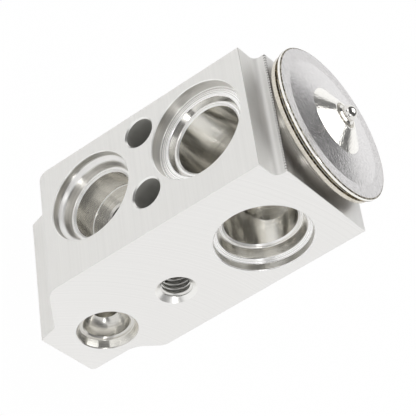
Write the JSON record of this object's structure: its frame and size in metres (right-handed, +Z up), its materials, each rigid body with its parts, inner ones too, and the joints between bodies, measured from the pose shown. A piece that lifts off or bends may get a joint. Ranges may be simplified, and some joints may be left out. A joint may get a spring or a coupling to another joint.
{
  "type": "expansion valve",
  "caption": "Right-angle block thermostatic expansion valve for a vehicle air conditioner, with stepped O-ring ports, a diaphragm power head and a bottom adjusting screw.",
  "frame": {"origin": "on the valve axis, in the block's bottom end face", "axes": "+Z up the valve axis to the power head, +X out of the pipe face, -Y out of the evaporator face"},
  "size_m": [0.0296, 0.0306, 0.0668],
  "materials": {
    "machined_aluminium": "extruded and milled, bright, with fine die and cutter lines",
    "turned_aluminium": "turned",
    "pressed_steel": "pressed stainless sheet, satin with a polished crown and rim",
    "turned_steel": "turned stainless steel",
    "bright_steel": "polished",
    "spring_steel": "cold-rolled stainless sheet and wire",
    "screw_brass": "turned",
    "seal_rubber": "matt moulded nitrile, refrigerant grade"
  },
  "bodies": {
    "valve_body": {"valve_block": "machined_aluminium", "upper_cover": "pressed_steel", "sealing_plug": "bright_steel", "diaphragm": "spring_steel", "lower_cover": "pressed_steel", "threaded_neck": "turned_steel", "head_seal": "seal_rubber", "rod_seal": "seal_rubber", "seal_retainer": "spring_steel"},
    "stem": {"diaphragm_receiver": "turned_steel", "sensing_shaft": "turned_aluminium", "operating_rod": "bright_steel", "valve_ball": "bright_steel", "ball_holder": "turned_steel", "damper_spring": "spring_steel"},
    "screw_carriage": {"screw_seal": "seal_rubber", "valve_spring": "spring_steel"},
    "screw": {"adjusting_screw": "screw_brass"}
  },
  "joints": [
    {"name": "valve_stroke", "type": "slide", "parent": "valve_body", "child": "stem", "axis": [0, 0, -1], "range_m": [0, 0.0004], "stiffness_N_per_m": 20000, "deforming": ["valve_spring", "diaphragm"]},
    {"name": "screw_feed", "type": "slide", "parent": "valve_body", "child": "screw_carriage", "axis": [0, 0, 1], "range_m": [-0.0005, 0.0005], "deforming": ["valve_spring"]},
    {"name": "screw_turn", "type": "hinge", "parent": "screw_carriage", "child": "screw", "pos_m": [0, 0, 0.004], "axis": [0, 0, 1], "range_deg": [-180, 180]}
  ],
  "couplings": [
    {"joint": "screw_turn", "follows": "screw_feed", "rad_per_m": 6283.2}
  ]
}
